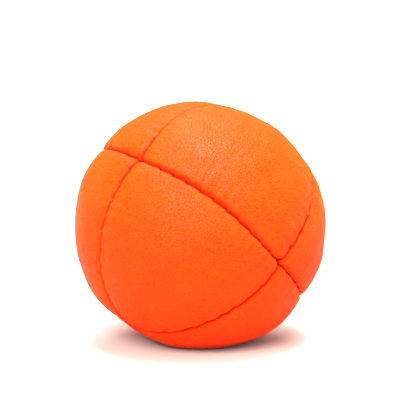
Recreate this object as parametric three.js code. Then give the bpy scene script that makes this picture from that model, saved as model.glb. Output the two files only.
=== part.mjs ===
// A hand-sized weighted ball sewn from eight leather triangles, like the eighths of an orange's peel.
// Each triangle's edges roll over and turn inward, thread runs in the grooves between them,
// and one packed body of pellets fills the inside.
// Millimetres, +Z up. The origin is the middle of the flat that the ball settles on.

import * as THREE from 'three';
import { mergeVertices } from 'three/addons/utils/BufferGeometryUtils.js';

// ---- Driving dimensions, in millimetres unless a name says otherwise ----

const BALL_RADIUS = 33;
const CENTRE_HEIGHT = 31.2;
const SETTLING_BLEND = 0.6;

const LEATHER_THICKNESS = 1.0;
const SEAM_GAP = 0.5;
const LIP_RADIUS = 1.2;
const SEAM_ALLOWANCE = 2.6;

const SEAM_DIP = 0.45;
const SEAM_DIP_REACH = 3.5;

const THREAD_RADIUS = 0.25;
const THREAD_DEPTH = 0.5;
const STITCH_ARCH = 0.15;
const STITCHES_PER_QUARTER = 12;
const THREAD_SIDES = 6;
const STEPS_PER_STITCH = 2;
const THREAD_END_GAP = 1.1;
const THREAD_SPLIT_GAP = 0.5;

const KNOT_RADIUS = 0.6;
const KNOT_DEPTH = 0.1;
const KNOT_RIPPLE = 0.08;
const KNOT_TURNS = 4;

const FILL_CLEARANCE = 0.3;

const PANEL_DIVISIONS = 12;
const FILL_DIVISIONS = 8;

// ---- How the ball lies: turns of its three seam circles, in degrees ----

const SEAM_TILT = { aboutX: -23.3, aboutY: 34.9, aboutZ: -128.6 };

// The three seam circles cross at six corners, where four leather points meet.
// A, B and C are the directions of three of them. C is the pole of each sewn half,
// and the circle through A and B is the last seam, which joins the two halves.
const A = new THREE.Vector3(1, 0, 0);
const B = new THREE.Vector3(0, 1, 0);
const C = new THREE.Vector3(0, 0, 1);
const MINUS_A = A.clone().negate();
const MINUS_B = B.clone().negate();
const MINUS_C = C.clone().negate();

// Hand sewing leaves each corner a little off its ideal place. The shift is along A, B and C.
// The slip is how far the corners of the two halves miss each other along the last seam.
const CORNERS = [
  { at: A, shift: [0, 1.5, 0], slip: [0, 0.3, 0] },
  { at: B, shift: [-0.7, 0, -0.6], slip: [0.3, 0, 0] },
  { at: MINUS_C, shift: [-1.3, -0.4, 0], slip: [0, 0, 0] },
  { at: MINUS_A, shift: [0, 0.5, 0.4], slip: [0, -0.2, 0] },
  { at: MINUS_B, shift: [0.4, 0, 0.6], slip: [-0.3, 0, 0] },
  { at: C, shift: [-1.2, -1.1, 0], slip: [0, 0, 0] },
];

// Between two corners a seam bows sideways by this much at its middle, along A, B and C.
const SEAM_BOWS = [
  { from: A, to: B, bow: [0, 0, 1.1] },
  { from: A, to: MINUS_C, bow: [0, -1.2, 0] },
  { from: B, to: MINUS_C, bow: [0.4, 0, 0] },
  { from: A, to: C, bow: [0, -1.8, 0] },
  { from: B, to: C, bow: [-2.5, 0, 0] },
  { from: A, to: MINUS_B, bow: [0, 0, 0.4] },
  { from: B, to: MINUS_A, bow: [0, 0, 0.1] },
  { from: MINUS_A, to: C, bow: [0, 0.9, 0] },
  { from: MINUS_A, to: MINUS_C, bow: [0, -0.7, 0] },
  { from: MINUS_B, to: C, bow: [0.8, 0, 0] },
  { from: MINUS_B, to: MINUS_C, bow: [1.0, 0, 0] },
  { from: MINUS_A, to: MINUS_B, bow: [0, 0, -0.8] },
];

// Broad swells and flats that the filling leaves in the cover, by where they face in the ball's own frame.
const SWELLS = [
  { towards: [0.60, -0.10, -0.79], height: 0.9, spread: 0.26 },
  { towards: [0.34, -0.10, 0.93], height: -0.7, spread: 0.30 },
  { towards: [-0.68, -0.10, 0.72], height: 0.4, spread: 0.24 },
  { towards: [-0.90, -0.10, 0.40], height: 0.4, spread: 0.20 },
  { towards: [-0.86, -0.10, -0.50], height: 0.5, spread: 0.28 },
  { towards: [0.92, -0.10, -0.38], height: 0.3, spread: 0.24 },
  { towards: [0.20, 0.97, 0.10], height: 0.5, spread: 0.40 },
  { towards: [-0.55, 0.75, 0.35], height: -0.4, spread: 0.30 },
  { towards: [0.60, 0.70, -0.35], height: -0.3, spread: 0.30 },
];

// ---- Materials ----

const LEATHER = new THREE.MeshStandardMaterial({ color: 0xf9601a, roughness: 0.55, metalness: 0 });
const THREAD = new THREE.MeshStandardMaterial({ color: 0xb5200a, roughness: 0.7, metalness: 0 });
const PELLETS = new THREE.MeshStandardMaterial({ color: 0xe8dcc0, roughness: 0.6, metalness: 0 });

// ---- The ball's surface ----

const tilt = new THREE.Euler(
  THREE.MathUtils.degToRad(SEAM_TILT.aboutX),
  THREE.MathUtils.degToRad(SEAM_TILT.aboutY),
  THREE.MathUtils.degToRad(SEAM_TILT.aboutZ),
);

function vector([x, y, z]) {
  return new THREE.Vector3(x, y, z);
}

// How strongly a corner pulls on a direction: one at the corner, nothing a quarter turn away.
function pull(direction, corner) {
  return Math.max(0, direction.dot(corner)) ** 2;
}

// Turns an ideal direction in the seams' frame into the direction where it was really sewn.
// half is 1 or -1 in the two sewn halves, and 0 on the seam between them.
function sewnDirection(ideal, half) {
  const sewn = ideal.clone();
  for (const { at, shift, slip } of CORNERS) {
    const weight = pull(ideal, at) / BALL_RADIUS;
    sewn.addScaledVector(vector(shift), weight);
    sewn.addScaledVector(vector(slip), weight * half);
  }
  for (const { from, to, bow } of SEAM_BOWS) {
    const weight = (4 * pull(ideal, from) * pull(ideal, to)) / BALL_RADIUS;
    sewn.addScaledVector(vector(bow), weight);
  }
  return sewn.normalize().applyEuler(tilt);
}

// The cover sinks towards every seam, and most at the corners.
function seamDip(ideal) {
  let dip = 0;
  for (const side of [ideal.x, ideal.y, ideal.z]) {
    const distance = BALL_RADIUS * Math.asin(Math.min(1, Math.abs(side)));
    dip += SEAM_DIP * Math.exp(-distance / SEAM_DIP_REACH);
  }
  return dip;
}

function swell(direction) {
  let height = 0;
  for (const lump of SWELLS) {
    const apart = direction.angleTo(vector(lump.towards));
    height += lump.height * Math.exp(-((apart / lump.spread) ** 2));
  }
  return height;
}

// The larger of value and zero, with a soft bend SETTLING_BLEND wide between the two.
function settled(value) {
  const share = Math.max(0, SETTLING_BLEND - Math.abs(value)) / SETTLING_BLEND;
  return Math.max(0, value) + (share * share * SETTLING_BLEND) / 4;
}

// A point at a depth under the cover's outside, with the base pressed flat on the ground.
function ballPoint(ideal, half, depth) {
  const direction = sewnDirection(ideal, half);
  const radius = BALL_RADIUS + swell(direction) - seamDip(ideal);
  const outsideHeight = direction.z * radius + CENTRE_HEIGHT;
  const point = direction.multiplyScalar(radius - depth);
  point.z += CENTRE_HEIGHT + settled(outsideHeight) - outsideHeight;
  return point;
}

// ---- Three-cornered patches of the cover ----

// A direction inside one eighth of the ball. shares are three numbers that add up to one,
// and inset is how far the patch's edge stays from its seams, at the given depth.
function patchDirection(signs, shares, inset, depth) {
  const margin = Math.asin(inset / (BALL_RADIUS - depth));
  const parts = shares.map((share) => Math.sin(margin + (Math.PI / 2 - margin) * share));
  return new THREE.Vector3(...parts.map((part, i) => part * signs[i])).normalize();
}

// The whole half that a patch belongs to, or zero for a point that lies on the last seam.
function halfOf(ideal) {
  return Math.abs(ideal.z) < 1e-9 ? 0 : Math.sign(ideal.z);
}

function patchPoint(signs, shares, section) {
  const ideal = patchDirection(signs, shares, section.inset, section.depth);
  return ballPoint(ideal, halfOf(ideal), section.depth);
}

// The shares of every grid point of a patch, row by row.
function patchShares(divisions) {
  const shares = [];
  for (let row = 0; row <= divisions; row += 1) {
    for (let step = 0; step <= divisions - row; step += 1) {
      shares.push([(divisions - row - step) / divisions, step / divisions, row / divisions]);
    }
  }
  return shares;
}

// The triangles of that grid, as index triples.
function patchTriangles(divisions) {
  const triangles = [];
  let start = 0;
  for (let row = 0; row < divisions; row += 1) {
    const length = divisions - row + 1;
    const next = start + length;
    for (let step = 0; step < length - 1; step += 1) {
      triangles.push([start + step, start + step + 1, next + step]);
      if (step < length - 2) {
        triangles.push([start + step + 1, next + step + 1, next + step]);
      }
    }
    start = next;
  }
  return triangles;
}

// The shares of the points round a patch's rim, in the order A, B, C.
function rimShares(divisions) {
  const shares = [];
  for (let side = 0; side < 3; side += 1) {
    for (let step = 0; step < divisions; step += 1) {
      const point = [0, 0, 0];
      point[side] = (divisions - step) / divisions;
      point[(side + 1) % 3] = step / divisions;
      shares.push(point);
    }
  }
  return shares;
}

// Collects loose triangles. flipped turns them over, for an eighth that is a mirror image.
class TriangleList {
  constructor(flipped) {
    this.flipped = flipped;
    this.positions = [];
  }

  add(a, b, c) {
    const corners = this.flipped ? [a, c, b] : [a, b, c];
    for (const corner of corners) {
      this.positions.push(corner.x, corner.y, corner.z);
    }
  }

  addPatch(signs, section, divisions, facing) {
    const points = patchShares(divisions).map((shares) => patchPoint(signs, shares, section));
    for (const [a, b, c] of patchTriangles(divisions)) {
      if (facing === 'out') {
        this.add(points[a], points[b], points[c]);
      } else {
        this.add(points[a], points[c], points[b]);
      }
    }
  }

  addRimStrip(signs, upper, lower, divisions) {
    const shares = rimShares(divisions);
    const top = shares.map((share) => patchPoint(signs, share, upper));
    const bottom = shares.map((share) => patchPoint(signs, share, lower));
    for (let i = 0; i < shares.length; i += 1) {
      const next = (i + 1) % shares.length;
      this.add(top[i], bottom[i], bottom[next]);
      this.add(top[i], bottom[next], top[next]);
    }
  }
}

function solid(positions) {
  const geometry = new THREE.BufferGeometry();
  geometry.setAttribute('position', new THREE.Float32BufferAttribute(positions, 3));
  const merged = mergeVertices(geometry, 1e-5);
  merged.computeVertexNormals();
  return merged;
}

function isMirrored(signs) {
  return signs[0] * signs[1] * signs[2] < 0;
}

// ---- Leather panel: a domed triangle with rolled lips and turned-in edges ----

function lipSection(turnDegrees) {
  const turn = THREE.MathUtils.degToRad(turnDegrees);
  return {
    inset: SEAM_GAP / 2 + LIP_RADIUS * (1 - Math.sin(turn)),
    depth: LIP_RADIUS * (1 - Math.cos(turn)),
  };
}

function panelSections() {
  const flangeEnd = LIP_RADIUS + SEAM_ALLOWANCE;
  const innerFace = SEAM_GAP / 2 + LEATHER_THICKNESS;
  return [
    lipSection(0),
    lipSection(45),
    lipSection(90),
    { inset: SEAM_GAP / 2, depth: flangeEnd },
    { inset: innerFace, depth: flangeEnd },
    { inset: innerFace, depth: LIP_RADIUS + 0.3 },
    { inset: SEAM_GAP / 2 + LIP_RADIUS + 0.2, depth: LEATHER_THICKNESS },
  ];
}

function panelGeometry(signs) {
  const sections = panelSections();
  const list = new TriangleList(isMirrored(signs));
  list.addPatch(signs, sections[0], PANEL_DIVISIONS, 'out');
  for (let i = 0; i + 1 < sections.length; i += 1) {
    list.addRimStrip(signs, sections[i], sections[i + 1], PANEL_DIVISIONS);
  }
  list.addPatch(signs, sections[sections.length - 1], PANEL_DIVISIONS, 'in');
  return solid(list.positions);
}

// ---- Filling: one packed body, grooved where the turned-in edges reach into it ----

function fillSections() {
  const innerFace = SEAM_GAP / 2 + LEATHER_THICKNESS;
  return [
    { inset: innerFace + 3 * FILL_CLEARANCE, depth: LEATHER_THICKNESS + FILL_CLEARANCE },
    { inset: innerFace + FILL_CLEARANCE, depth: LIP_RADIUS + 3 * FILL_CLEARANCE },
    { inset: innerFace + FILL_CLEARANCE, depth: LIP_RADIUS + SEAM_ALLOWANCE + FILL_CLEARANCE },
    { inset: 0, depth: LIP_RADIUS + SEAM_ALLOWANCE + FILL_CLEARANCE },
  ];
}

function fillGeometry(panels) {
  const sections = fillSections();
  const positions = [];
  for (const { signs } of panels) {
    const list = new TriangleList(isMirrored(signs));
    list.addPatch(signs, sections[0], FILL_DIVISIONS, 'out');
    for (let i = 0; i + 1 < sections.length; i += 1) {
      list.addRimStrip(signs, sections[i], sections[i + 1], FILL_DIVISIONS);
    }
    for (const value of list.positions) {
      positions.push(value);
    }
  }
  return solid(positions);
}

// ---- Thread: runs along a chain of quarter seams, arching a little over each stitch ----

class SeamRun extends THREE.Curve {
  constructor(corners, half, startGap, endGap) {
    super();
    this.corners = corners;
    this.half = half;
    this.quarters = corners.length - 1;
    const quarterLength = (Math.PI / 2) * BALL_RADIUS;
    this.start = startGap / quarterLength;
    this.end = this.quarters - endGap / quarterLength;
  }

  getPoint(t, target = new THREE.Vector3()) {
    const along = this.start + (this.end - this.start) * t;
    const quarter = Math.min(this.quarters - 1, Math.floor(along));
    const angle = (along - quarter) * (Math.PI / 2);
    const ideal = new THREE.Vector3();
    ideal.addScaledVector(this.corners[quarter], Math.cos(angle));
    ideal.addScaledVector(this.corners[quarter + 1], Math.sin(angle));
    const arch = STITCH_ARCH * Math.sin(Math.PI * along * STITCHES_PER_QUARTER) ** 2;
    return target.copy(ballPoint(ideal, this.half, THREAD_DEPTH - arch));
  }
}

function threadSection() {
  const shape = new THREE.Shape();
  for (let side = 0; side < THREAD_SIDES; side += 1) {
    const angle = (2 * Math.PI * side) / THREAD_SIDES;
    const x = THREAD_RADIUS * Math.cos(angle);
    const y = THREAD_RADIUS * Math.sin(angle);
    if (side === 0) {
      shape.moveTo(x, y);
    } else {
      shape.lineTo(x, y);
    }
  }
  shape.closePath();
  return shape;
}

function threadGeometry({ corners, half, startGap, endGap }) {
  const run = new SeamRun(corners, half, startGap, endGap);
  const geometry = new THREE.ExtrudeGeometry(threadSection(), {
    steps: run.quarters * STITCHES_PER_QUARTER * STEPS_PER_STITCH,
    bevelEnabled: false,
    extrudePath: run,
  });
  return solid(geometry.attributes.position.array);
}

// ---- Knot: a small wound lump where the closing thread ends ----

function knotGeometry() {
  const centre = ballPoint(B, 0, KNOT_DEPTH);
  const geometry = new THREE.IcosahedronGeometry(1, 2);
  const place = geometry.attributes.position;
  const positions = [];
  for (let i = 0; i < place.count; i += 1) {
    const outward = new THREE.Vector3().fromBufferAttribute(place, i);
    const wind = Math.sin(KNOT_TURNS * Math.atan2(outward.y, outward.x) + 5 * outward.z);
    const fade = 1 - outward.z ** 2;
    const point = outward.multiplyScalar(KNOT_RADIUS - KNOT_RIPPLE * (1 + wind) * fade);
    point.add(centre);
    positions.push(point.x, point.y, point.z);
  }
  return solid(positions);
}

// ---- The pieces ----

const PANELS = [
  { name: 'panel_front', signs: [1, 1, -1] },
  { name: 'panel_top', signs: [1, 1, 1] },
  { name: 'panel_left', signs: [1, -1, -1] },
  { name: 'panel_top_left', signs: [1, -1, 1] },
  { name: 'panel_base', signs: [-1, 1, -1] },
  { name: 'panel_right', signs: [-1, 1, 1] },
  { name: 'panel_rear_low', signs: [-1, -1, -1] },
  { name: 'panel_rear', signs: [-1, -1, 1] },
];

const END = THREAD_END_GAP;
const SPLIT = THREAD_SPLIT_GAP;

const THREADS = [
  { name: 'thread_pair_top_front', corners: [B, C], half: 1, startGap: END, endGap: END },
  { name: 'thread_pair_top_rear', corners: [MINUS_B, C], half: 1, startGap: END, endGap: END },
  { name: 'thread_pair_low_front', corners: [B, MINUS_C], half: -1, startGap: END, endGap: END },
  { name: 'thread_pair_low_rear', corners: [MINUS_B, MINUS_C], half: -1, startGap: END, endGap: END },
  { name: 'thread_half_top', corners: [A, C, MINUS_A], half: 1, startGap: END, endGap: END },
  { name: 'thread_half_low', corners: [A, MINUS_C, MINUS_A], half: -1, startGap: END, endGap: END },
  { name: 'thread_joining', corners: [B, MINUS_A, MINUS_B, A], half: 0, startGap: END, endGap: SPLIT },
  { name: 'thread_closing', corners: [A, B], half: 0, startGap: SPLIT, endGap: END },
];

function piece(name, geometry, material) {
  const mesh = new THREE.Mesh(geometry, material.clone());
  mesh.name = name;
  return mesh;
}

function buildBall() {
  const ball = new THREE.Group();
  for (const panel of PANELS) {
    ball.add(piece(panel.name, panelGeometry(panel.signs), LEATHER));
  }
  for (const thread of THREADS) {
    ball.add(piece(thread.name, threadGeometry(thread), THREAD));
  }
  ball.add(piece('closing_knot', knotGeometry(), THREAD));
  ball.add(piece('pellet_fill', fillGeometry(PANELS), PELLETS));
  return ball;
}

export default buildBall();
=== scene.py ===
import math

import bpy
import numpy as np
from mathutils import Matrix, Vector


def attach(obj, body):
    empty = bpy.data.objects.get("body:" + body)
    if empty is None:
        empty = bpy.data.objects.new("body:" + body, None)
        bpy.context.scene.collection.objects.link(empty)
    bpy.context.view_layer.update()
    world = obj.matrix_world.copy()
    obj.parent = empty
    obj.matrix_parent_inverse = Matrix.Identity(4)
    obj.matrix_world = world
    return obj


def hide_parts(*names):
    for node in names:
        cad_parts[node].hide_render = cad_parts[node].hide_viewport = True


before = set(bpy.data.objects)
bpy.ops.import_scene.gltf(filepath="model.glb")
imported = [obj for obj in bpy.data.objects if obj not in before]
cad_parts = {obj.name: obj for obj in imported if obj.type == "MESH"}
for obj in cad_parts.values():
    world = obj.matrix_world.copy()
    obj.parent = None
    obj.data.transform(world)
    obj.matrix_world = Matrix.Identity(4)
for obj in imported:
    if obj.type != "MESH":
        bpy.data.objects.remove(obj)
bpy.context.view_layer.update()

# ---- The ball, in millimetres, repeating the CAD model's driving dimensions ----

MM = 0.001
BALL_RADIUS = 33.0
CENTRE_HEIGHT = 31.2
SETTLING_BLEND = 0.6
LEATHER_THICKNESS = 1.0
SEAM_DIP = 0.45
SEAM_DIP_REACH = 3.5
SEAM_TILT = {"X": -23.3, "Y": 34.9, "Z": -128.6}

# Corners of the cover, where four leather points meet, along the seams' own axes.
A, B, C = np.eye(3)

# Each corner's shift from its ideal place, and its slip between the two sewn halves.
CORNERS = [
    (A, (0, 1.5, 0), (0, 0.3, 0)),
    (B, (-0.7, 0, -0.6), (0.3, 0, 0)),
    (-C, (-1.3, -0.4, 0), (0, 0, 0)),
    (-A, (0, 0.5, 0.4), (0, -0.2, 0)),
    (-B, (0.4, 0, 0.6), (-0.3, 0, 0)),
    (C, (-1.2, -1.1, 0), (0, 0, 0)),
]

# How far each quarter seam bows sideways at its middle, and how open it is there.
QUARTER_SEAMS = [
    (A, B, (0, 0, 1.1), 1.0),
    (A, -C, (0, -1.2, 0), 0.55),
    (B, -C, (0.4, 0, 0), 0.9),
    (A, C, (0, -1.8, 0), 0.03),
    (B, C, (-2.5, 0, 0), 0.85),
    (A, -B, (0, 0, 0.4), 0.7),
    (B, -A, (0, 0, 0.1), 0.7),
    (-A, C, (0, 0.9, 0), 0.5),
    (-A, -C, (0, -0.7, 0), 0.6),
    (-B, C, (0.8, 0, 0), 0.5),
    (-B, -C, (1.0, 0, 0), 0.6),
    (-A, -B, (0, 0, -0.8), 0.9),
]
CORNER_OPENNESS = 0.8
OPENNESS_SPREAD = 1.7

# Broad swells and flats of the stuffed cover: direction, height and angular spread.
SWELLS = [
    ((0.60, -0.10, -0.79), 0.9, 0.26),
    ((0.34, -0.10, 0.93), -0.7, 0.30),
    ((-0.68, -0.10, 0.72), 0.4, 0.24),
    ((-0.90, -0.10, 0.40), 0.4, 0.20),
    ((-0.86, -0.10, -0.50), 0.5, 0.28),
    ((0.92, -0.10, -0.38), 0.3, 0.24),
    ((0.20, 0.97, 0.10), 0.5, 0.40),
    ((-0.55, 0.75, 0.35), -0.4, 0.30),
    ((0.60, 0.70, -0.35), -0.3, 0.30),
]

# What the seams' extra valleys take off the outline, given back to the panels beside them.
COVER_LIFT = 0.12
PANEL_CROWNS = [
    ((0.96, -0.05, 0.27), 0.4, 0.26),
    ((0.98, -0.10, -0.15), 0.35, 0.50),
]

# ---- Fine form of the sewn leather, in millimetres ----

VALLEY_DEPTH = 0.6
VALLEY_REACH = 1.8
PIT_DEPTH = 1.0
PIT_REACH = 1.15
LIP_RADIUS = 1.3
TIGHT_LIP_SHARE = 0.25
LIP_GAP = 0.36
# How far out from a seam the painted shade in the leather's colour reaches.
PAINTED_SHADE_REACH = 0.7
LIP_STEPS = 8
FLANGE_DEPTH = 2.6
INSIDE_BEND = 0.3
INSIDE_INSET = 1.3
PANEL_GRID = 216
INSIDE_GRID = 24

STITCHES_PER_CIRCLE = 48
STITCH_LEAN = 0.42
STITCH_TURN = 0.14
STITCH_REACH = 1.5
PUCKER_DEPTH = 0.11
PUCKER_LENGTH = 0.5
PUCKER_REACH = 1.1
LIP_SWELL = 0.10
LIP_SWELL_PLACE = 1.2

WRINKLE_HEIGHT = 0.14
WRINKLE_REACH = 3.4
WRINKLE_START = 0.8
WRINKLE_CYCLES = (29, 41, 59, 83)

SOFT_DENTS = [(11.0, 0.028), (6.0, 0.014), (3.1, 0.007)]
WAVES_PER_SIZE = 9
FULL_PHASE = 6.28

# ---- Thread, in millimetres ----

THREAD_RADIUS = 0.24
THREAD_DEPTH = 0.9
THREAD_DIVE = 0.25
THREAD_DIVE_LENGTH = 0.36
THREAD_SIDES = 10
THREAD_STEP = 0.16
PLY_RELIEF = 0.13
PLY_TWIST = 1.1
THREAD_END_GAP = 0.9
THREAD_SPLIT_GAP = 0.3

KNOT_SIZE = 0.36
KNOT_HEIGHT_SHARE = 1.2
KNOT_DEPTH = 0.35
KNOT_STEPS = 120
KNOT_THREAD_SHARE = 0.8

# ---- Material colours, and textures in cycles per metre with depths in metres ----

LEATHER_ORANGE = (0.95, 0.034, 0.0006)
LEATHER_DEEP = (0.93, 0.027, 0.0004)
LEATHER_PORE = (0.78, 0.015, 0.0003)
# Painted shade: down in the seams and corner pits the leather's colour darkens towards this deep
# red, over this range of the seam mask.
LEATHER_PAINTED_SHADE = (0.21, 0.0022, 0.0003)
PAINTED_SHADE_RANGE = (0.3, 0.8)
MOTTLE_SCALE = 140.0
GRAIN_SCALE = 1350.0
GRAIN_EDGE = 0.22
GRAIN_WARP_SCALE = 900.0
GRAIN_WARP = 0.0006
GRAIN_DEPTH = 0.0001
PORE_EDGE = 0.5
PORE_SHARE = 0.8
FINE_SCALE = 4200.0
FINE_SHARE = 0.25
BROAD_SCALE = 420.0
BROAD_STRENGTH = 0.5
BROAD_DEPTH = 0.00016
LEATHER_ROUGHNESS = (0.62, 0.46)
LEATHER_GLOSS = {
    "IOR": 1.04,
    "Sheen Weight": 0.11,
    "Sheen Roughness": 0.5,
    "Sheen Tint": (1.0, 0.42, 0.08, 1.0),
    "Coat Weight": 0.085,
    "Coat Roughness": 0.30,
    "Coat IOR": 1.5,
}

THREAD_RED = (0.28, 0.0040, 0.0009)
THREAD_DARK = (0.16, 0.0024, 0.0005)
FIBRE_SCALE = 6500.0
FIBRE_STRENGTH = 0.5
FIBRE_DEPTH = 0.00003
FIBRE_COLOUR_RANGE = (0.35, 0.65)
THREAD_ROUGHNESS = (0.55, 0.75)
THREAD_IOR = 1.2

PELLET_CREAM = (0.80, 0.72, 0.52)
PELLET_SHADE = (0.62, 0.54, 0.36)
PELLET_SCALE = 420.0
PELLET_REACH = 0.7
PELLET_STRENGTH = 0.9
PELLET_DEPTH = 0.0008
PELLET_ROUGHNESS = (0.7, 0.45)

FLOOR_LIGHT = (0.41, 0.345, 0.305)
FLOOR_SHADE = (0.40, 0.335, 0.295)
FLOOR_TONE_SCALE = 6.0
FLOOR_ROUGHNESS = 0.9
FLOOR_SPECULAR = 0.1
FLOOR_GLOW = 0.03
FLOOR_HALF_WIDTH = 30.0

NOISE_RANGE = (0.3, 0.7)
WHITE = (1.0, 1.0, 1.0, 1.0)

# ---- Light and camera ----

WORLD_STRENGTH = 0.4

# Each light: strength, softness, azimuth and elevation, with angles in degrees.
LIGHTS = [
    ("overhead_lamp", 10.0, 22.0, 30.0, 84.0),
    ("front_softbox", 7.0, 30.0, -20.0, 37.0),
    ("upper_front_softbox", 2.8, 40.0, 0.0, 60.0),
    ("right_softbox", 2.0, 50.0, 50.0, 45.0),
    ("back_softbox", 5.6, 40.0, 180.0, 62.0),
]

VIEW_ELEVATION = 8.0
VIEW_DISTANCE_IN_RADII = 12.0
BALL_SHARE_OF_FRAME = 0.31
SENSOR_WIDTH = 36.0
CLIP_START = 0.01
CLIP_END = 60.0
AIM = Vector((0.00016, 0.0, 0.0380))

SEED = 7
rng = np.random.default_rng(SEED)


def pull(directions, corner):
    """How strongly a corner pulls on directions: one at it, nothing a quarter turn away."""
    return np.maximum(0.0, directions @ np.asarray(corner, float)) ** 2


# ---- Stitches: what each one does to the leather along its seam ----

STITCH_STRENGTH = rng.uniform(0.7, 1.25, (3, STITCHES_PER_CIRCLE))
STITCH_SLANT = rng.uniform(0.75, 1.2, (3, STITCHES_PER_CIRCLE))
STITCH_PHASE = rng.uniform(0.0, 1.0, 3)
WRINKLE_PHASES = rng.uniform(0.0, 2.0 * math.pi, (3, 2, len(WRINKLE_CYCLES)))
PATCH_PHASES = rng.uniform(0.0, 2.0 * math.pi, (3, 2, 2))
SEAM_PLANES = {0: (1, 2), 1: (0, 2), 2: (0, 1)}


def seam_place(ideal, normal_axis):
    """Distance from one seam circle and the turn along it, for each direction."""
    first, second = SEAM_PLANES[normal_axis]
    side = np.clip(ideal[:, normal_axis], -1.0, 1.0)
    distance = BALL_RADIUS * np.arcsin(np.abs(side))
    turn = np.arctan2(ideal[:, second], ideal[:, first])
    return distance, turn, side


def stitch_place(turn, normal_axis):
    """Which stitch each turn falls in, and how far along it, from 0 to 1."""
    count = turn / (2.0 * math.pi) * STITCHES_PER_CIRCLE + STITCH_PHASE[normal_axis]
    stitch = np.floor(count)
    return stitch.astype(int) % STITCHES_PER_CIRCLE, count - stitch


def lean(along):
    """A stitch runs from one side of the seam to the other, then steps back at its hole."""
    half_turn = STITCH_TURN / 2.0
    straight = along - 0.5
    near_end = np.clip((along - (1.0 - half_turn)) / STITCH_TURN, 0.0, 1.0)
    near_start = np.clip((half_turn - along) / STITCH_TURN, 0.0, 1.0)
    back = smooth(near_end) - smooth(near_start)
    return straight - back * (1.0 - half_turn)


def smooth(t):
    return t * t * (3.0 - 2.0 * t)


def seam_shift(ideal, normal_axis):
    """Sideways shift of the leather beside a seam, in millimetres."""
    distance, turn, _ = seam_place(ideal, normal_axis)
    stitch, along = stitch_place(turn, normal_axis)
    reach = np.exp(-((distance / STITCH_REACH) ** 2))
    return STITCH_LEAN * STITCH_SLANT[normal_axis][stitch] * lean(along) * reach


def hole_distance(along):
    """Distance in millimetres from the nearest stitch hole."""
    pitch = 2.0 * math.pi * BALL_RADIUS / STITCHES_PER_CIRCLE
    return np.minimum(along, 1.0 - along) * pitch


def stitch_relief(ideal, normal_axis):
    """Puckers at the holes and low swells between them, in millimetres outward."""
    distance, turn, _ = seam_place(ideal, normal_axis)
    stitch, along = stitch_place(turn, normal_axis)
    strength = STITCH_STRENGTH[normal_axis][stitch]
    pucker = np.exp(-((hole_distance(along) / PUCKER_LENGTH) ** 2))
    pucker = pucker * np.exp(-((distance / PUCKER_REACH) ** 2))
    crown = np.sin(math.pi * along) ** 2 * np.exp(-((distance - LIP_SWELL_PLACE) ** 2))
    return LIP_SWELL * crown - PUCKER_DEPTH * strength * pucker


def wrinkles(ideal, normal_axis):
    """Small folds that run out from a seam where its edge was gathered."""
    distance, turn, side = seam_place(ideal, normal_axis)
    relief = np.zeros(len(ideal))
    for which, chosen in enumerate((side >= 0.0, side < 0.0)):
        phases = WRINKLE_PHASES[normal_axis][which]
        folds = np.zeros(len(ideal))
        for cycles, phase in zip(WRINKLE_CYCLES, phases):
            folds += np.sin(cycles * turn + phase)
        first, second = PATCH_PHASES[normal_axis][which]
        patches = 0.5 + 0.3 * np.sin(5.0 * turn + first) + 0.2 * np.sin(11.0 * turn + second)
        relief += np.where(chosen, folds * patches, 0.0)
    fade = np.exp(-distance / WRINKLE_REACH) * (1.0 - np.exp(-distance / WRINKLE_START))
    return WRINKLE_HEIGHT * relief * fade


def wave_set():
    waves = []
    for length, height in SOFT_DENTS:
        for _ in range(WAVES_PER_SIZE):
            heading = rng.normal(size=3)
            heading /= np.linalg.norm(heading)
            waves.append((heading * 2.0 * math.pi / length, rng.uniform(0.0, FULL_PHASE), height))
    return waves


WAVES = wave_set()


def soft_dents(places):
    """Low, soft unevenness that the pellets leave in the leather."""
    relief = np.zeros(len(places))
    for heading, phase, height in WAVES:
        relief += height * np.sin(places @ heading + phase)
    return relief


# ---- The ball's surface ----

TURNS = [Matrix.Rotation(math.radians(angle), 3, axis) for axis, angle in SEAM_TILT.items()]
TILT = np.array(TURNS[0] @ TURNS[1] @ TURNS[2])


def sewn_direction(ideal, half):
    """Where an ideal direction in the seams' frame was really sewn, in the ball's frame."""
    sewn = ideal.copy()
    for at, shift, slip in CORNERS:
        weight = (pull(ideal, at) / BALL_RADIUS)[:, None]
        sewn += weight * np.array(shift) + weight * half[:, None] * np.array(slip)
    for start, end, bow, _ in QUARTER_SEAMS:
        weight = 4.0 * pull(ideal, start) * pull(ideal, end) / BALL_RADIUS
        sewn += weight[:, None] * np.array(bow)
    for axis in range(3):
        sewn[:, axis] += seam_shift(ideal, axis) / BALL_RADIUS
    sewn /= np.linalg.norm(sewn, axis=1)[:, None]
    return sewn @ TILT.T


def seam_openness(ideal):
    """How far apart the two lips of the nearest seam stand, from 0 to 1."""
    openness = np.full(len(ideal), CORNER_OPENNESS)
    for start, end, _, middle in QUARTER_SEAMS:
        weight = np.minimum(1.0, 4.0 * OPENNESS_SPREAD * pull(ideal, start) * pull(ideal, end))
        openness += weight * (middle - CORNER_OPENNESS)
    return openness


def seam_dip(ideal):
    """Depth of the shallow valley along every seam, and of the steeper one at its lips."""
    dip = np.zeros(len(ideal))
    valley = VALLEY_DEPTH * seam_openness(ideal)
    for axis in range(3):
        distance, _, _ = seam_place(ideal, axis)
        dip += SEAM_DIP * np.exp(-distance / SEAM_DIP_REACH)
        dip += valley * np.exp(-distance / VALLEY_REACH)
    return dip + PIT_DEPTH * corner_pit(ideal)


def corner_pit(ideal):
    """One where four leather points meet, falling to nothing just beside them."""
    pit = np.zeros(len(ideal))
    for at, _, _ in CORNERS:
        apart = BALL_RADIUS * np.arccos(np.clip(ideal @ at, -1.0, 1.0))
        pit += np.exp(-((apart / PIT_REACH) ** 2))
    return pit


def swell(directions):
    height = np.full(len(directions), COVER_LIFT)
    for heading, size, spread in SWELLS + PANEL_CROWNS:
        heading = np.array(heading) / np.linalg.norm(heading)
        apart = np.arccos(np.clip(directions @ heading, -1.0, 1.0))
        height += size * np.exp(-((apart / spread) ** 2))
    return height


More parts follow.
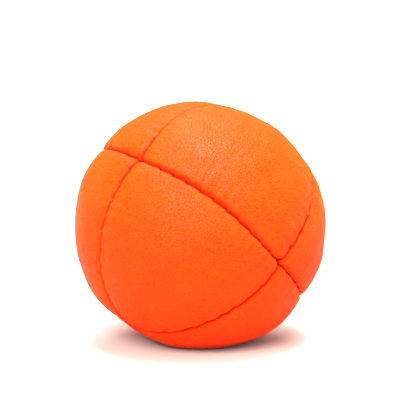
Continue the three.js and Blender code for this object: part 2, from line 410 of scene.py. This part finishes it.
def settled(value):
    """The larger of value and zero, with a soft bend between the two."""
    share = np.maximum(0.0, SETTLING_BLEND - np.abs(value)) / SETTLING_BLEND
    return np.maximum(0.0, value) + share * share * SETTLING_BLEND / 4.0


def ball_points(ideal, half, depth, relief_share=1.0):
    """Points at a depth under the cover's outside, in millimetres in the ball's frame."""
    directions = sewn_direction(ideal, half)
    radius = BALL_RADIUS + swell(directions) - seam_dip(ideal)
    relief = soft_dents(directions * BALL_RADIUS)
    for axis in range(3):
        relief += stitch_relief(ideal, axis) + wrinkles(ideal, axis)
    radius += relief * relief_share
    outside_height = directions[:, 2] * radius + CENTRE_HEIGHT
    points = directions * (radius - depth)[:, None]
    points[:, 2] += CENTRE_HEIGHT + settled(outside_height) - outside_height
    return points


# ---- Leather panels ----

PANELS = {
    "panel_front": (1, 1, -1),
    "panel_top": (1, 1, 1),
    "panel_left": (1, -1, -1),
    "panel_top_left": (1, -1, 1),
    "panel_base": (-1, 1, -1),
    "panel_right": (-1, 1, 1),
    "panel_rear_low": (-1, -1, -1),
    "panel_rear": (-1, -1, 1),
}


def patch_directions(signs, shares, inset, depth):
    """Directions inside one eighth, whose edge keeps an inset from its seams."""
    margin = np.arcsin(np.broadcast_to(inset / (BALL_RADIUS - depth), len(shares)))[:, None]
    parts = np.sin(margin + (math.pi / 2.0 - margin) * shares)
    ideal = parts * np.array(signs, float)
    return ideal / np.linalg.norm(ideal, axis=1)[:, None]


def patch_shares(divisions):
    rows = []
    for row in range(divisions + 1):
        step = np.arange(divisions - row + 1)
        rows.append(np.stack([divisions - row - step, step, np.full_like(step, row)], axis=1))
    return np.concatenate(rows) / divisions


def patch_triangles(divisions):
    triangles = []
    start = 0
    for row in range(divisions):
        length = divisions - row + 1
        here = start + np.arange(length)
        above = start + length + np.arange(length - 1)
        triangles.append(np.stack([here[:-1], here[1:], above], axis=1))
        triangles.append(np.stack([here[1:-1], above[1:], above[:-1]], axis=1))
        start += length
    return np.concatenate(triangles)


def rim_shares(divisions):
    rim = []
    for side in range(3):
        step = np.arange(divisions)
        part = np.zeros((divisions, 3))
        part[:, side] = (divisions - step) / divisions
        part[:, (side + 1) % 3] = step / divisions
        rim.append(part)
    return np.concatenate(rim)


def panel_sections(openness):
    """The cover's cross-section at a seam: over the lip, down the turned edge, and in.

    A seam sewn tight has a small lip and hardly any gap; an open one has a full round lip.
    """
    gap = LIP_GAP * openness / 2.0
    radius = LIP_RADIUS * (TIGHT_LIP_SHARE + (1.0 - TIGHT_LIP_SHARE) * openness)
    outer_inset = LIP_GAP / 2.0 + LIP_RADIUS
    sections = []
    for step in range(1, LIP_STEPS + 1):
        left = 1.0 - math.sin(math.pi / 2.0 * step / LIP_STEPS)
        from_gap = (outer_inset - gap) * left
        over = 1.0 - np.minimum(1.0, from_gap / radius)
        sections.append((gap + from_gap, radius * (1.0 - np.sqrt(1.0 - over * over))))
    inner_face = LIP_GAP / 2.0 + LEATHER_THICKNESS
    sections.append((gap, FLANGE_DEPTH))
    sections.append((inner_face, FLANGE_DEPTH))
    sections.append((inner_face + INSIDE_BEND, LEATHER_THICKNESS))
    return sections


def half_of(ideal):
    return np.where(np.abs(ideal[:, 2]) < 1e-9, 0.0, np.sign(ideal[:, 2]))


class PanelMesh:
    """Collects one panel's points, triangles and how deep in a seam each point lies, which sets
    the painted shade in the seams.
    """

    def __init__(self, signs):
        self.signs = signs
        self.points = []
        self.painted_seam_shade = []
        self.triangles = []
        self.count = 0

    def add_points(self, shares, inset, depth, relief_share=1.0):
        ideal = patch_directions(self.signs, shares, inset, depth)
        self.points.append(ball_points(ideal, half_of(ideal), depth, relief_share))
        nearest = np.min([seam_place(ideal, axis)[0] for axis in range(3)], axis=0)
        # Painted shade mask: strongest down in an open seam and in the corner pits, where it
        # darkens the leather's colour.
        painted_seam_shade = seam_openness(ideal) * np.exp(-nearest / PAINTED_SHADE_REACH)
        self.painted_seam_shade.append(np.maximum(painted_seam_shade, corner_pit(ideal)))
        start = self.count
        self.count += len(shares)
        return start

    def add_strip(self, upper, lower, size):
        here = np.arange(size)
        after = (here + 1) % size
        self.triangles.append(np.stack([upper + here, lower + here, lower + after], axis=1))
        self.triangles.append(np.stack([upper + here, lower + after, upper + after], axis=1))


def rim_indices(divisions):
    """Indices of a patch's rim points, in the order that rim_shares gives them."""
    starts = np.concatenate([[0], np.cumsum(np.arange(divisions + 1, 0, -1))])
    bottom = np.arange(divisions)
    right = np.array([starts[row] + divisions - row for row in range(divisions)])
    left = np.array([starts[divisions - step] for step in range(divisions)])
    return np.concatenate([bottom, right, left])


def build_panel(name, signs, material):
    mesh = PanelMesh(signs)
    rim = rim_shares(PANEL_GRID)
    size = len(rim)
    outer_inset = LIP_GAP / 2.0 + LIP_RADIUS
    mesh.add_points(patch_shares(PANEL_GRID), outer_inset, 0.0)
    mesh.triangles.append(patch_triangles(PANEL_GRID))
    sections = panel_sections(seam_openness(patch_directions(signs, rim, outer_inset, 0.0)))
    rings = [mesh.add_points(rim, inset, depth) for inset, depth in sections]
    outer_rim = rim_indices(PANEL_GRID)
    after = np.roll(np.arange(size), -1)
    ring = rings[0] + np.arange(size)
    mesh.triangles.append(np.stack([outer_rim, ring, ring[after]], axis=1))
    mesh.triangles.append(np.stack([outer_rim, ring[after], outer_rim[after]], axis=1))
    for upper, lower in zip(rings, rings[1:]):
        mesh.add_strip(upper, lower, size)
    inset = LIP_GAP / 2.0 + LEATHER_THICKNESS + INSIDE_INSET
    inside = mesh.add_points(patch_shares(INSIDE_GRID), inset, LEATHER_THICKNESS, 0.0)
    mesh.triangles.append(inside + patch_triangles(INSIDE_GRID)[:, ::-1])
    return finish_panel(name, mesh, rings[-1], inside, size, material)


def finish_panel(name, mesh, last_ring, inside, size, material):
    """Closes the inside with fans from the last fine ring to the coarse inner patch."""
    ratio = PANEL_GRID // INSIDE_GRID
    coarse_rim = inside + rim_indices(INSIDE_GRID)
    here = np.arange(size)
    after = (here + 1) % size
    parent = ((here + ratio // 2) // ratio) % len(coarse_rim)
    mesh.triangles.append(
        np.stack([last_ring + here, coarse_rim[parent], last_ring + after], axis=1)
    )
    steps = parent != parent[after]
    corner = np.stack([last_ring + after, coarse_rim[parent], coarse_rim[parent[after]]], axis=1)
    mesh.triangles.append(corner[steps])
    points = np.concatenate(mesh.points) * MM
    triangles = np.concatenate(mesh.triangles)
    if np.prod(mesh.signs) < 0:
        triangles = triangles[:, ::-1]
    piece = mesh_object(name, points, triangles, material)
    painted_seam_shade = piece.data.attributes.new("painted_seam_shade", "FLOAT", "POINT")
    painted_seam_shade.data.foreach_set("value", np.concatenate(mesh.painted_seam_shade))
    return piece


def mesh_object(name, points, triangles, material):
    mesh = bpy.data.meshes.new(name)
    mesh.vertices.add(len(points))
    mesh.vertices.foreach_set("co", np.asarray(points, np.float32).ravel())
    mesh.loops.add(3 * len(triangles))
    mesh.loops.foreach_set("vertex_index", np.asarray(triangles, np.int32).ravel())
    mesh.polygons.add(len(triangles))
    mesh.polygons.foreach_set("loop_start", np.arange(0, 3 * len(triangles), 3, dtype=np.int32))
    mesh.update(calc_edges=True)
    mesh.validate()
    mesh.shade_smooth()
    mesh.materials.append(material)
    piece = bpy.data.objects.new(name, mesh)
    bpy.context.scene.collection.objects.link(piece)
    return piece


# ---- Thread ----

THREADS = {
    "thread_pair_top_front": ([B, C], 1, THREAD_END_GAP, THREAD_END_GAP),
    "thread_pair_top_rear": ([-B, C], 1, THREAD_END_GAP, THREAD_END_GAP),
    "thread_pair_low_front": ([B, -C], -1, THREAD_END_GAP, THREAD_END_GAP),
    "thread_pair_low_rear": ([-B, -C], -1, THREAD_END_GAP, THREAD_END_GAP),
    "thread_half_top": ([A, C, -A], 1, THREAD_END_GAP, THREAD_END_GAP),
    "thread_half_low": ([A, -C, -A], -1, THREAD_END_GAP, THREAD_END_GAP),
    "thread_joining": ([B, -A, -B, A], 0, THREAD_END_GAP, THREAD_SPLIT_GAP),
    "thread_closing": ([A, B], 0, THREAD_SPLIT_GAP, THREAD_END_GAP),
}


def thread_path(corners, half, start_gap, end_gap):
    """The thread's line: along the groove, and down through the leather at each hole."""
    quarter = math.pi / 2.0 * BALL_RADIUS
    length = quarter * (len(corners) - 1)
    along = np.arange(start_gap, length - end_gap, THREAD_STEP)
    which = np.minimum((along // quarter).astype(int), len(corners) - 2)
    angle = (along - which * quarter) / BALL_RADIUS
    chain = np.array(corners)
    ideal = chain[which] * np.cos(angle)[:, None] + chain[which + 1] * np.sin(angle)[:, None]
    normal_axis = int(np.argmin(np.abs(chain).sum(axis=0)))
    _, turn, _ = seam_place(ideal, normal_axis)
    _, place = stitch_place(turn, normal_axis)
    dive = THREAD_DIVE * np.exp(-((hole_distance(place) / THREAD_DIVE_LENGTH) ** 2))
    return ball_points(ideal, np.full(len(ideal), float(half)), THREAD_DEPTH + dive)


def tube(path, radius, sides, relief, twist):
    """A closed tube round a path, with two plies twisted along it."""
    tangent = np.gradient(path, axis=0)
    tangent /= np.linalg.norm(tangent, axis=1)[:, None]
    normal = np.zeros_like(path)
    normal[0] = np.cross(tangent[0], (0.3, 0.5, 0.8))
    normal[0] /= np.linalg.norm(normal[0])
    for i in range(1, len(path)):
        carried = normal[i - 1] - tangent[i] * (normal[i - 1] @ tangent[i])
        normal[i] = carried / np.linalg.norm(carried)
    side = np.cross(tangent, normal)
    travelled = np.concatenate([[0.0], np.cumsum(np.linalg.norm(np.diff(path, axis=0), axis=1))])
    angle = np.arange(sides) / sides * 2.0 * math.pi
    ply = 1.0 + relief * np.cos(2.0 * (angle[None, :] - travelled[:, None] * twist / radius * 0.2))
    ring = normal[:, None, :] * np.cos(angle)[None, :, None]
    ring = ring + side[:, None, :] * np.sin(angle)[None, :, None]
    points = path[:, None, :] + ring * (radius * ply)[:, :, None]
    points = np.concatenate([points.reshape(-1, 3), path[:1], path[-1:]])
    return points, tube_triangles(len(path), sides)


def tube_triangles(rings, sides):
    ring, step = np.meshgrid(np.arange(rings - 1), np.arange(sides), indexing="ij")
    a = (ring * sides + step).ravel()
    b = (ring * sides + (step + 1) % sides).ravel()
    c, d = a + sides, b + sides
    first, last = rings * sides, rings * sides + 1
    step = np.arange(sides)
    after = (step + 1) % sides
    start_cap = np.stack([np.full(sides, first), after, step], axis=1)
    base = (rings - 1) * sides
    end_cap = np.stack([np.full(sides, last), base + step, base + after], axis=1)
    return np.concatenate([
        np.stack([a, b, d], axis=1), np.stack([a, d, c], axis=1), start_cap, end_cap,
    ])


def build_thread(name, run, material):
    points, triangles = tube(
        thread_path(*run), THREAD_RADIUS, THREAD_SIDES, PLY_RELIEF, PLY_TWIST
    )
    return mesh_object(name, points * MM, triangles, material)


def build_knot(name, material):
    """The closing thread's end, wound into a small three-lobed knot."""
    angle = np.linspace(0.0, 2.0 * math.pi, KNOT_STEPS)
    reach = 2.0 + np.cos(3.0 * angle)
    knot = np.stack([
        reach * np.cos(2.0 * angle),
        reach * np.sin(2.0 * angle),
        KNOT_HEIGHT_SHARE * np.sin(3.0 * angle),
    ], axis=1) * KNOT_SIZE / 2.0
    centre = ball_points(B[None, :].copy(), np.zeros(1), KNOT_DEPTH)[0]
    outward = sewn_direction(B[None, :].copy(), np.zeros(1))[0]
    turn = np.array(Vector((0, 0, 1)).rotation_difference(Vector(outward)).to_matrix())
    path = knot @ turn.T + centre
    radius = THREAD_RADIUS * KNOT_THREAD_SHARE
    points, triangles = tube(path, radius, THREAD_SIDES, PLY_RELIEF, PLY_TWIST)
    return mesh_object(name, points * MM, triangles, material)


# ---- Materials ----

FULL_RANGE = (0.0, 1.0)


class Nodes:
    """One new material, with a short way to add its nodes and link them."""

    def __init__(self, name):
        self.material = bpy.data.materials.new(name)
        self.material.use_nodes = True
        self.tree = self.material.node_tree
        self.tree.nodes.clear()
        self.places = self.add("ShaderNodeTexCoord").outputs["Object"]

    def add(self, kind, **settings):
        node = self.tree.nodes.new(kind)
        for key, value in settings.items():
            if hasattr(node, key):
                setattr(node, key, value)
            else:
                node.inputs[key].default_value = value
        return node

    def link(self, source, target):
        self.tree.links.new(source, target)

    def noise(self, scale, detail=3.0, roughness=0.5):
        node = self.add("ShaderNodeTexNoise", Scale=scale, Detail=detail, Roughness=roughness)
        self.link(self.places, node.inputs["Vector"])
        return node.outputs["Fac"]

    def mapped(self, value, before, after):
        """The value, carried from one range to another."""
        node = self.add("ShaderNodeMapRange")
        sockets = ("From Min", "From Max", "To Min", "To Max")
        for socket, number in zip(sockets, (*before, *after)):
            node.inputs[socket].default_value = number
        self.link(value, node.inputs["Value"])
        return node.outputs["Result"]

    def mixed(self, share, first, second):
        """A mix of two colours, each a plain colour or another node's output."""
        node = self.add("ShaderNodeMix", data_type="RGBA")
        sockets = [socket for socket in node.inputs if socket.type == "RGBA"]
        for socket, colour in zip(sockets, (first, second)):
            if isinstance(colour, tuple):
                socket.default_value = (*colour, 1.0)
            else:
                self.link(colour, socket)
        self.link(share, node.inputs["Factor"])
        return next(socket for socket in node.outputs if socket.type == "RGBA")

    def scaled_sum(self, first, first_share, second, second_share):
        """A sum of two values, each times its share."""
        parts = []
        for value, share in ((first, first_share), (second, second_share)):
            part = self.add("ShaderNodeMath", operation="MULTIPLY")
            self.link(value, part.inputs[0])
            part.inputs[1].default_value = share
            parts.append(part.outputs["Value"])
        total = self.add("ShaderNodeMath", operation="ADD")
        self.link(parts[0], total.inputs[0])
        self.link(parts[1], total.inputs[1])
        return total.outputs["Value"]

    def bump(self, height, strength, depth, under=None):
        node = self.add("ShaderNodeBump", Strength=strength, Distance=depth)
        self.link(height, node.inputs["Height"])
        if under is not None:
            self.link(under, node.inputs["Normal"])
        return node.outputs["Normal"]

    def finish(self, constants, links):
        """The shader, with its constants set and its varying inputs linked."""
        shader = self.add("ShaderNodeBsdfPrincipled")
        for name, value in constants.items():
            shader.inputs[name].default_value = value
        for name, source in links.items():
            self.link(source, shader.inputs[name])
        output = self.add("ShaderNodeOutputMaterial")
        self.link(shader.outputs["BSDF"], output.inputs["Surface"])
        return self.material


def grain_cells(nodes):
    """Leather grain: one in the middle of each cell, falling to nothing at its edges."""
    shifted = nodes.add("ShaderNodeVectorMath", operation="MULTIPLY_ADD")
    nodes.link(nodes.noise(GRAIN_WARP_SCALE, 2.0), shifted.inputs[0])
    shifted.inputs[1].default_value = (GRAIN_WARP, GRAIN_WARP, GRAIN_WARP)
    nodes.link(nodes.places, shifted.inputs[2])
    cells = nodes.add("ShaderNodeTexVoronoi", feature="DISTANCE_TO_EDGE", Scale=GRAIN_SCALE)
    nodes.link(shifted.outputs["Vector"], cells.inputs["Vector"])
    return nodes.mapped(cells.outputs["Distance"], (0.0, GRAIN_EDGE), FULL_RANGE)


def leather_material():
    """Smooth dyed leather: fine grain cells, faint mottling, and painted shade darkening it down
    in the seams.
    """
    nodes = Nodes("orange_leather")
    painted_seam_shade = nodes.add("ShaderNodeAttribute", attribute_name="painted_seam_shade").outputs["Fac"]
    cells = grain_cells(nodes)

    mottle = nodes.mapped(nodes.noise(MOTTLE_SCALE, 4.0, 0.6), NOISE_RANGE, FULL_RANGE)
    pores = nodes.mapped(cells, (0.0, PORE_EDGE), (PORE_SHARE, 0.0))
    # Painted shade: the colour darkens towards a deep red down in the seams and corner pits.
    painted_shade_share = nodes.mapped(painted_seam_shade, PAINTED_SHADE_RANGE, FULL_RANGE)
    colour = nodes.mixed(mottle, LEATHER_ORANGE, LEATHER_DEEP)
    colour = nodes.mixed(pores, colour, LEATHER_PORE)
    colour = nodes.mixed(painted_shade_share, colour, LEATHER_PAINTED_SHADE)

    fine = nodes.noise(FINE_SCALE, 3.0, 0.6)
    broad = nodes.noise(BROAD_SCALE, 3.0, 0.55)
    uneven = nodes.bump(broad, BROAD_STRENGTH, BROAD_DEPTH)
    height = nodes.scaled_sum(cells, 1.0 - FINE_SHARE, fine, FINE_SHARE)
    normal = nodes.bump(height, 1.0, GRAIN_DEPTH, uneven)
    return nodes.finish(LEATHER_GLOSS, {
        "Base Color": colour,
        "Roughness": nodes.mapped(cells, FULL_RANGE, LEATHER_ROUGHNESS),
        "Normal": normal,
        "Coat Normal": normal,
    })


def thread_material():
    """Dark red waxed thread: fibres show as fine streaks."""
    nodes = Nodes("red_thread")
    fibres = nodes.noise(FIBRE_SCALE, 4.0, 0.7)
    dark_to_red = nodes.mapped(fibres, FIBRE_COLOUR_RANGE, FULL_RANGE)
    return nodes.finish({"IOR": THREAD_IOR}, {
        "Base Color": nodes.mixed(dark_to_red, THREAD_DARK, THREAD_RED),
        "Roughness": nodes.mapped(fibres, NOISE_RANGE, THREAD_ROUGHNESS),
        "Normal": nodes.bump(fibres, FIBRE_STRENGTH, FIBRE_DEPTH),
    })


def pellet_material():
    """Packed cream pellets with painted shade between the beads, which only show if the cover is
    taken off.
    """
    nodes = Nodes("cream_pellets")
    beads = nodes.add("ShaderNodeTexVoronoi", feature="F1", Scale=PELLET_SCALE)
    nodes.link(nodes.places, beads.inputs["Vector"])
    # Painted shade: each bead's colour darkens from its cream top towards its edge, where the
    # beads meet.
    round_top = nodes.mapped(beads.outputs["Distance"], (0.0, PELLET_REACH), (1.0, 0.0))
    return nodes.finish({}, {
        "Base Color": nodes.mixed(round_top, PELLET_SHADE, PELLET_CREAM),
        "Roughness": nodes.mapped(round_top, FULL_RANGE, PELLET_ROUGHNESS),
        "Normal": nodes.bump(round_top, PELLET_STRENGTH, PELLET_DEPTH),
    })


def floor_material():
    nodes = Nodes("pale_floor")
    tone = nodes.mapped(nodes.noise(FLOOR_TONE_SCALE, 2.0), NOISE_RANGE, FULL_RANGE)
    matt = {
        "Roughness": FLOOR_ROUGHNESS,
        "Specular IOR Level": FLOOR_SPECULAR,
        "Emission Color": WHITE,
        "Emission Strength": FLOOR_GLOW,
    }
    return nodes.finish(matt, {"Base Color": nodes.mixed(tone, FLOOR_LIGHT, FLOOR_SHADE)})


# ---- Floor, light and camera ----

def build_floor():
    corners = FLOOR_HALF_WIDTH * np.array([(-1, -1, 0), (1, -1, 0), (1, 1, 0), (-1, 1, 0)])
    floor = mesh_object("floor", corners, np.array([(0, 1, 2), (0, 2, 3)]), floor_material())


def build_world():
    world = bpy.data.worlds.new("studio")
    world.use_nodes = True
    background = world.node_tree.nodes["Background"]
    background.inputs["Color"].default_value = WHITE
    background.inputs["Strength"].default_value = WORLD_STRENGTH
    bpy.context.scene.world = world


def towards(azimuth, elevation):
    """A direction out from the ball: azimuth zero is the viewer's side, and rises rightwards."""
    a, e = math.radians(azimuth), math.radians(elevation)
    return Vector((math.sin(a) * math.cos(e), -math.cos(a) * math.cos(e), math.sin(e)))


def build_light(name, strength, softness, azimuth, elevation):
    lamp = bpy.data.lights.new(name, "SUN")
    lamp.energy = strength
    lamp.angle = math.radians(softness)
    light = bpy.data.objects.new(name, lamp)
    light.rotation_euler = towards(azimuth, elevation).to_track_quat("Z", "Y").to_euler()
    bpy.context.scene.collection.objects.link(light)


def build_camera():
    camera_data = bpy.data.cameras.new("camera")
    camera_data.sensor_width = SENSOR_WIDTH
    camera_data.lens = BALL_SHARE_OF_FRAME * VIEW_DISTANCE_IN_RADII * SENSOR_WIDTH
    camera_data.clip_start = CLIP_START
    camera_data.clip_end = CLIP_END
    camera = bpy.data.objects.new("camera", camera_data)
    outward = towards(0.0, VIEW_ELEVATION)
    camera.location = AIM + outward * VIEW_DISTANCE_IN_RADII * BALL_RADIUS * MM
    camera.rotation_euler = outward.to_track_quat("Z", "Y").to_euler()
    bpy.context.scene.collection.objects.link(camera)
    bpy.context.scene.camera = camera


# ---- Putting it together ----

def add_piece(piece, node):
    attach(piece, "root")
    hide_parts(node)


def main():
    build_camera()
    leather = leather_material()
    thread = thread_material()
    for node, signs in PANELS.items():
        panel = build_panel("leather_" + node, signs, leather)
        add_piece(panel, node)
    for node, run in THREADS.items():
        add_piece(build_thread("stitched_" + node, run, thread), node)
    add_piece(build_knot("wound_closing_knot", thread), "closing_knot")
    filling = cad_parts["pellet_fill"]
    pellets = pellet_material()
    for place in filling.material_slots:
        place.material = pellets
    build_floor()
    build_world()
    for light in LIGHTS:
        build_light(*light)
    bpy.context.scene.view_settings.view_transform = "Standard"


main()
